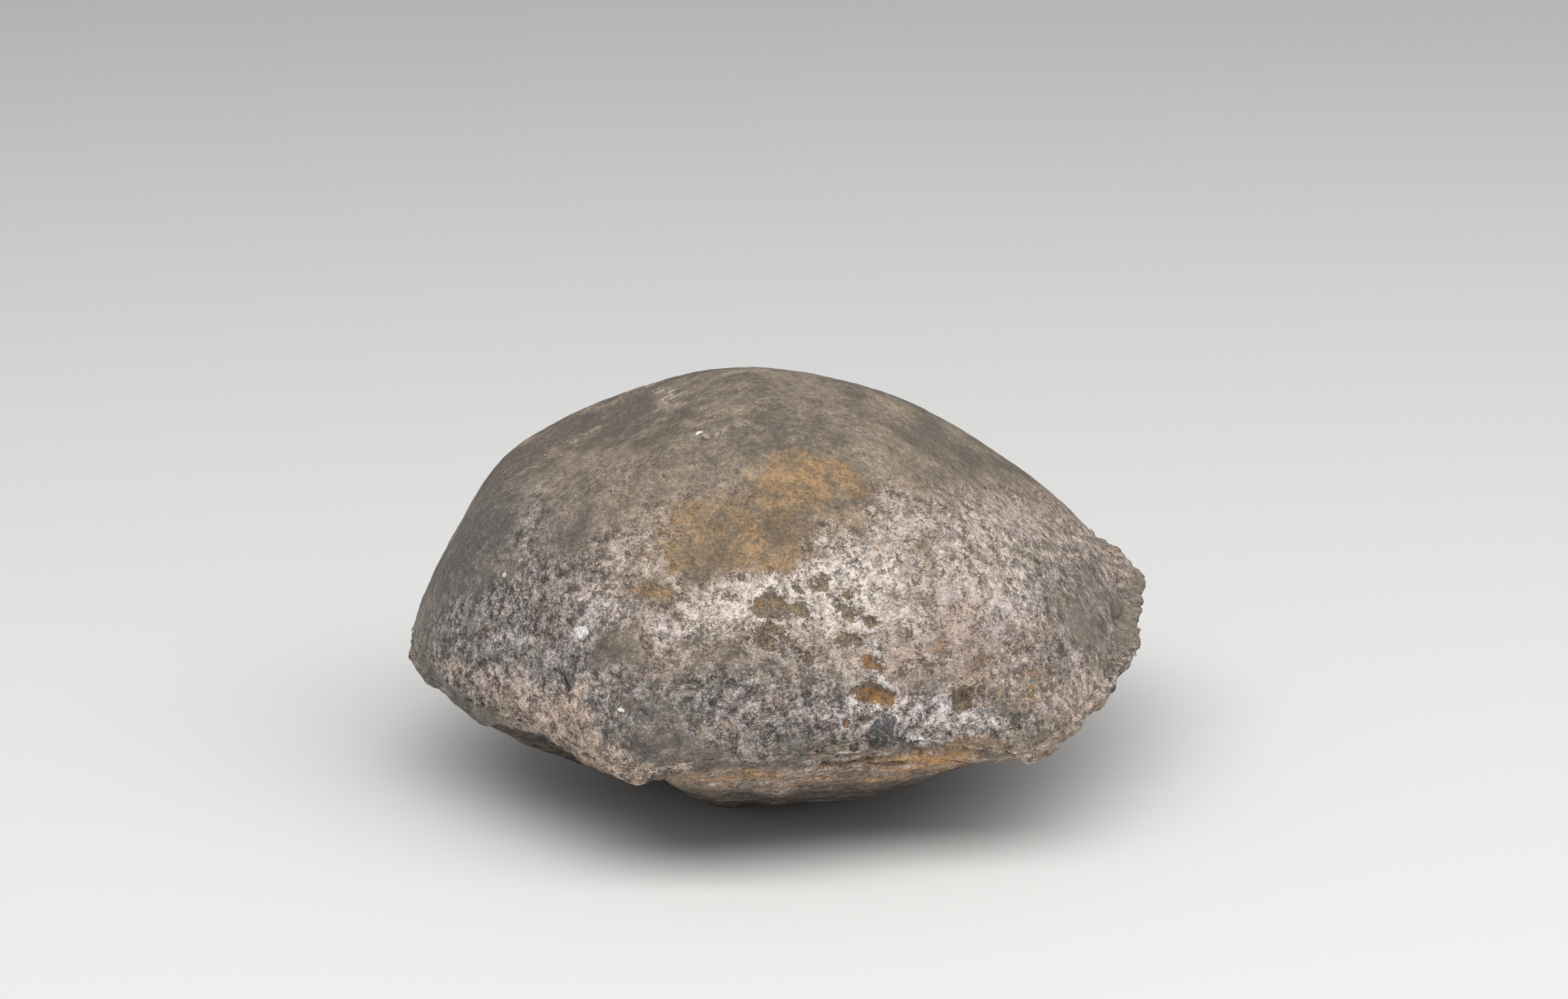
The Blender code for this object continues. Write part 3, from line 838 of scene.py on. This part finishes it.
def clouds(place):
    """The noises that every finish reads, from clouds 9 mm across down to single grains.

    `lot`, `tint` and `pick` are three random numbers to each sand grain. `arcs` is noise
    over the angle round a line below the stone, the depth and the distance from that
    line, so its streaks run from the stone's left foot over the top. `layers` and `seams`
    are noise squeezed flat along the bedding.
    """
    grains = place.node("ShaderNodeTexVoronoi", {}, {"Vector": place, "Scale": 1 / GRAIN},
                        "Color")
    lot, tint, pick = grains.parts()
    x, y, z = place.parts()
    round_x, round_z = x - ARC_MIDDLE[0], z - ARC_MIDDLE[1]
    radius = round_x * round_x + round_z * round_z
    radius = radius.math("SQRT", radius)
    along = round_x.math("ARCTAN2", round_x, round_z) * ARC_LENGTH
    arcs = along.node("ShaderNodeCombineXYZ", {}, {"X": along, "Y": y * 0.5, "Z": radius})
    bedding = place.node("ShaderNodeMapping", {}, {
        "Vector": place,
        "Rotation": (0.0, BED_TILT, 0.0),
        "Scale": (BED_STRETCH, BED_STRETCH, 1.0),
    })
    return SimpleNamespace(
        broad=place.cloud(9.0, 2.0, 0.5),
        patchy=place.cloud(3.2, 4.0, 0.6),
        flecks=place.cloud(1.3, 3.0, 0.65, 40.0),
        salt=place.cloud(0.62, 2.0, 0.6, 80.0),
        speckle=place.cloud(3.6, 4.0, 0.9, 40.0) * 2.0,
        grit=place.cloud(2.6, 4.0, 0.95, 160.0) * 2.0,
        arcs=arcs.cloud(1.5, 4.0, 0.7, 20.0) * (0 - x).step(-25.0, 15.0),
        layers=bedding.cloud(1.6, 3.0, 0.6, 60.0),
        seams=bedding.cloud(1.1, 4.0, 0.7, 90.0),
        past_foot=x.step(*UMBER_FROM),
        lot=lot,
        tint=tint,
        pick=pick,
    )


def wear(amount, cloud):
    """How much crust is left, and how strongly grains and pores show where it has gone."""
    edge = cloud.speckle * 0.44 + cloud.salt * 0.18 + cloud.arcs * 0.24 + (cloud.lot - 0.5) * 0.3
    worn = 1 - amount.cover.step(0.10, 0.45) * 0.7
    half_worn = amount.cover.step(-0.35, 0.05)
    contrast = worn * (0.52 + 0.28 * half_worn + 0.32 * amount.pale + 0.70 * amount.cool
                       + 0.10 * amount.sandy)
    mottle = (cloud.grit + 0.3 * cloud.salt).step(-1.0, 1.0) - 0.5
    pore = cloud.salt * 0.5 - cloud.speckle * 0.6 - cloud.grit * 0.3 + (cloud.pick - 0.5) * 0.5
    return SimpleNamespace(
        crusted=(amount.cover * 1.2 + edge).step(-0.36, 0.46),
        worn=worn,
        contrast=contrast,
        mottle=mottle,
        shade=contrast * mottle,
        pore=pore.step(0.35, 0.80) * worn * (1 - 0.3 * amount.sandy),
    )


def bare_rock(amount, cloud):
    """Rock of pale grains, pink to lilac: bleached, sandy or tan in places."""
    broad, patchy, flecks = cloud.broad, cloud.patchy, cloud.flecks
    lilac = broad * 0.5 + patchy * 0.3 + cloud.speckle * 0.3 + 0.3 + 0.6 * amount.cool
    rock = lilac.step(0.0, 1.0).mix(ROCK_PINK, ROCK_LILAC)
    rock = (amount.pale * (0.8 + 0.3 * flecks)).mix(rock, ROCK_WHITE)
    rock = (amount.sandy * (0.6 + 0.4 * cloud.tint)).mix(rock, SAND_PINK)
    rock = (amount.sandy * (patchy + flecks * 0.8).step(-0.1, 0.7) * 0.7).mix(rock, SAND_OCHRE)
    brown = cloud.tint * 0.6 + broad * 0.20 + flecks * 0.30 + patchy * 0.25
    brown = brown - 0.15 * amount.pale - 0.25 * amount.cool
    return (brown.step(0.20, 0.90) * 0.65).mix(rock, ROCK_TAN)


def crust(amount, cloud):
    """The crust: dark where thick, olive, pinkish or warm where thin, slate or umber low."""
    broad, patchy, flecks, arcs = cloud.broad, cloud.patchy, cloud.flecks, cloud.arcs
    thin = broad * 0.50 + arcs * 0.40 + flecks * 0.35 + 1.3 - 1.8 * amount.cover
    colour = thin.step(0.0, 1.0).mix(CRUST_DARK, CRUST_OLIVE)
    pinkish = broad * 0.4 + arcs * 0.4 + flecks * 0.3 + cloud.salt * 0.3 - 0.05
    colour = pinkish.step(0.0, 0.9).mix(colour, CRUST_PINK)
    warm = broad * 0.4 + arcs * 0.2 + flecks * 0.4
    colour = (warm.step(0.10, 1.00) * 0.35).mix(colour, OCHRE_LIGHT)
    colour = (amount.cool * (0.8 + 0.2 * patchy)).mix(colour, CRUST_SLATE)
    earthy = broad * 0.7 + patchy * 0.5 + flecks * 0.2
    earthy = earthy.step(-0.10, 0.60) * amount.cool * cloud.past_foot
    colour = earthy.mix(colour, CRUST_UMBER)
    return colour.shaded(1 + 0.16 * patchy + 0.08 * arcs + 0.12 * flecks + 0.10 * broad)


def grained(colour, place, amount, cloud, state):
    """Light, dark and umber grains, open pores, fine surface cracks, frost and specks."""
    patchy, flecks, salt = cloud.patchy, cloud.flecks, cloud.salt
    colour = colour.shaded(1 + 1.1 * state.shade + 0.3 * (cloud.lot - 0.5) + 0.10 * salt)
    colour = (state.pore * 0.65).mix(colour, ROCK_DARK)
    bent = place.node("ShaderNodeVectorMath", {"operation": "MULTIPLY_ADD"}, {
        0: place.node("ShaderNodeTexNoise", {}, {"Vector": place, "Scale": CRAZE_WAVES}, "Color"),
        1: (CRAZE_BEND, CRAZE_BEND, CRAZE_BEND),
        2: place,
    })
    seam = bent.node("ShaderNodeTexVoronoi", {"feature": "DISTANCE_TO_EDGE"},
                     {"Vector": bent, "Scale": 1 / CRAZE})
    craze = (1 - seam.step(0.01, 0.09)) * (patchy + flecks * 0.5).step(-0.1, 0.5) * state.worn
    colour = (craze * (0.40 + 0.30 * amount.pale)).mix(colour, ROCK_DARK)
    umber = (cloud.tint * 0.8 + flecks * 0.5 - 0.4 * amount.cool).step(0.55, 1.05) * state.worn
    colour = (umber * 0.5).mix(colour, UMBER_GRAIN)
    frost = (salt * 0.6 + cloud.grit * 0.5 + (cloud.tint - 0.5) * 0.6).step(0.55, 0.95)
    colour = (frost * state.contrast * 0.5).mix(colour, FROST_WHITE)
    specks = (flecks * 0.7 + salt * 0.6 + (cloud.pick - 0.5) * 0.9).step(0.50, 0.85)
    return (specks * amount.cool * state.worn * 0.55).mix(colour, ROCK_WHITE)


def iron_stained(colour, amount, cloud):
    """Iron that has soaked into the crust in clouds with a soft edge."""
    broad, patchy, flecks, salt = cloud.broad, cloud.patchy, cloud.flecks, cloud.salt
    iron = (patchy * 0.4 + broad * 0.3 + flecks * 0.2 + salt * 0.4 + 0.5).step(0.0, 1.0)
    iron = iron.mix(OCHRE_DEEP, OCHRE_LIGHT).shaded(0.82 + 0.36 * cloud.lot)
    soaked = amount.ochre + patchy * 0.22 + broad * 0.14 + flecks * 0.20 + salt * 0.18
    return (soaked.step(0.05, 1.15) * 0.85).mix(colour, iron)


def under_rim(colour, amount, cloud, state):
    """The belly, darkened by painted shade, and the band of ochre, pale and dark layers between
    it and the rim, lightened by painted light.
    """
    patchy, flecks, salt, layers = cloud.patchy, cloud.flecks, cloud.salt, cloud.layers
    by_grain = 0.3 * (cloud.lot - 0.5)
    worn_off = (patchy * 0.4 + layers * 0.5 + flecks * 0.4 + 0.3).step(0.1, 0.9)
    # The belly's greys hold painted shade: the underside below the rim is darkened in its colour.
    belly_colour_with_shade = worn_off.mix(BELLY_GREY_SHADED, BELLY_PALE_SHADED)
    belly_colour_with_shade = belly_colour_with_shade.shaded(1 + 0.9 * state.shade + by_grain)
    colour = (amount.belly * (0.9 + 0.2 * patchy)).mix(colour, belly_colour_with_shade)
    # The band's brown, ochre and frost-white layers are lighter than the rock's own colour:
    # painted light against the shade under the rim.
    band_colour_and_light = (layers * 0.8 + amount.rust * 0.8 + salt * 0.2 - 0.1).step(0.0, 1.0)
    band_colour_and_light = band_colour_and_light.mix(BAND_BROWN_LIT, BAND_OCHRE_LIT)
    pale_layer = (0.1 - layers + flecks * 0.5 + salt * 0.4).step(0.1, 0.9)
    band_colour_and_light = (pale_layer * 0.9).mix(band_colour_and_light, FROST_WHITE)
    band_colour_and_light = band_colour_and_light.shaded(1 + 0.9 * state.mottle + by_grain)
    dark_layer = (cloud.seams * 1.2 + cloud.grit * 0.4 + patchy * 0.2).step(0.25, 0.85)
    band_colour_and_light = (dark_layer * 0.75).mix(band_colour_and_light, BAND_DARK)
    return (amount.band * (0.85 + 0.3 * patchy)).mix(colour, band_colour_and_light)


def marked(colour, amount, cloud, state):
    """Scars with a pale fringe, rust, the pebble, cracks in painted shade and chips, and how each
    shows.
    """
    broad, patchy, flecks, salt = cloud.broad, cloud.patchy, cloud.flecks, cloud.salt
    ragged = flecks * 0.50 + patchy * 0.42 + salt * 0.18
    torn = amount.scar + ragged * amount.scar.step(0.0, 0.2)
    hollow = torn.step(0.42, 0.58)
    floor = (salt * 0.4 + flecks * 0.4 + patchy * 0.3 + cloud.lot * 0.5 + 0.1).step(0.0, 1.0)
    fringe = torn.step(0.18, 0.38) - hollow
    colour = (fringe * state.worn * 0.45).mix(colour, ROCK_WHITE)
    colour = (hollow * 0.88).mix(colour, floor.mix(SCAR_FLOOR, SCAR_LIGHT))
    blotched = (flecks * 0.8 + cloud.grit * 0.4 + broad * 0.3 + 0.25).step(-0.3, 0.7)
    rusty = (amount.rust + ragged).step(0.20, 0.85) * amount.rust.step(0.05, 0.35)
    colour = (rusty * (0.27 + 0.58 * hollow * blotched)).mix(colour, RUST_RAW)
    dark_stone = (amount.pebble + 0.12 * flecks + 0.08 * salt).step(0.38, 0.52)
    pebble_colour = (flecks * 0.6 + salt * 0.5).step(-0.1, 0.9).mix(PEBBLE_DARK, PEBBLE_LIGHT)
    colour = (dark_stone * 0.9).mix(colour, pebble_colour)
    # Cracks are painted near black: painted shade in their gaps.
    shadow_slit = 1 - (amount.crack + 0.20 * flecks + 0.10 * salt).step(0.05, 0.32)
    colour = (shadow_slit * 0.7).mix(colour, CRACK_SHADE_BLACK)
    white = (amount.chip + 0.30 * flecks + 0.20 * salt).step(0.42, 0.56)
    colour = (white * 0.9).mix(colour, CHIP_WHITE)
    return colour, SimpleNamespace(
        hollow=hollow, dark_stone=dark_stone, shadow_slit=shadow_slit, white=white)


def weathered_stone():
    """The stone's one finish, laid on in the order in which it came about."""
    material = bpy.data.materials.new("weathered_stone")
    material.use_nodes = True
    tree = material.node_tree
    shader = tree.nodes["Principled BSDF"]
    metres = Wire(tree, None).node("ShaderNodeTexCoord", {}, {}, "Object")
    place = metres.node("ShaderNodeVectorMath", {"operation": "SCALE"},
                        {0: metres, "Scale": 1 / MM})
    amount = SimpleNamespace(**{name: place.attribute(name) for name in finish})
    cloud = clouds(place)
    state = wear(amount, cloud)
    colour = (state.crusted * 0.9).mix(bare_rock(amount, cloud), crust(amount, cloud))
    colour = grained(colour, place, amount, cloud, state)
    colour = iron_stained(colour, amount, cloud)
    colour = under_rim(colour, amount, cloud, state)
    colour, mark = marked(colour, amount, cloud, state)
    tree.links.new(colour.socket, shader.inputs["Base Color"])

    dull = 0.92 - 0.18 * state.crusted - 0.15 * mark.hollow - 0.3 * mark.white
    dull = dull - 0.25 * mark.dark_stone
    tree.links.new(dull.socket, shader.inputs["Roughness"])
    shader.inputs["Specular IOR Level"].default_value = GLOSS

    height = (1 - state.crusted) * (0.12 * cloud.flecks - 0.35 * state.pore)
    height = height + 0.20 * state.crusted
    height = height + 0.08 * cloud.arcs + 0.10 * cloud.salt
    height = height - 0.30 * mark.hollow - 0.40 * mark.shadow_slit
    height = height + amount.band * 0.20 * cloud.layers
    height = height + (amount.sandy + amount.belly) * 0.22 * cloud.grit
    bump = height.node("ShaderNodeBump", {}, {"Strength": 1.0, "Distance": MM,
                                              "Height": height})
    tree.links.new(bump.socket, shader.inputs["Normal"])
    return material


egg.data.materials.append(weathered_stone())
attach(egg, "root")
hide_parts("fossil_egg")

# ---------------------------------------------------------------- the floor
# A plain pale studio table top: one smooth board, painted a matt white and wide enough
# that no end of it shows. The stone lies on it by its own weight.
FLOOR_HALF = 4.0
FLOOR_WHITE = tone(222, 222, 221)
FLOOR_ROUGHNESS = 0.8
bpy.ops.mesh.primitive_plane_add(size=2 * FLOOR_HALF)
table_top = bpy.context.object
table_top.name = "table_top"
table_white = bpy.data.materials.new("table_white")
table_white.use_nodes = True
table_shader = table_white.node_tree.nodes["Principled BSDF"]
table_shader.inputs["Base Color"].default_value = FLOOR_WHITE
table_shader.inputs["Roughness"].default_value = FLOOR_ROUGHNESS
table_top.data.materials.append(table_white)

# ---------------------------------------------------------------- light and camera
# One large soft lamp hangs above the stone, in front of it and to its right, and pale
# walls send back a little light. The camera stands at SEEN_FROM and looks down a little.
LAMP_PLACE = (0.38, -0.42, 1.0)
LAMP_SIZE = (2.6, 0.9)
LAMP_WATTS = 18.8
LAMP_COLOUR = (1.0, 0.99, 0.975)
ROOM_COLOUR = (0.965, 0.98, 1.0, 1.0)
ROOM_LIGHT = 0.42
FIELD_OF_VIEW = np.radians(24.0)
lamp = bpy.data.lights.new("soft_lamp", "AREA")
lamp.shape = "RECTANGLE"
lamp.size, lamp.size_y = LAMP_SIZE
lamp.energy = LAMP_WATTS
lamp.color = LAMP_COLOUR
lamp_holder = bpy.data.objects.new("soft_lamp", lamp)
lamp_holder.location = LAMP_PLACE
bpy.context.scene.collection.objects.link(lamp_holder)

world = bpy.data.worlds.new("pale_room")
world.use_nodes = True
world.node_tree.nodes["Background"].inputs["Color"].default_value = ROOM_COLOUR
world.node_tree.nodes["Background"].inputs["Strength"].default_value = ROOM_LIGHT
bpy.context.scene.world = world
bpy.context.scene.view_settings.view_transform = "Standard"

camera = bpy.data.cameras.new("camera")
camera.angle = FIELD_OF_VIEW
camera_holder = bpy.data.objects.new("camera", camera)
camera_holder.location = (SEEN_FROM - middle) * MM
camera_holder.rotation_euler = (np.pi / 2 - SEEN_TILT, 0.0, 0.0)
bpy.context.scene.collection.objects.link(camera_holder)
bpy.context.scene.camera = camera_holder
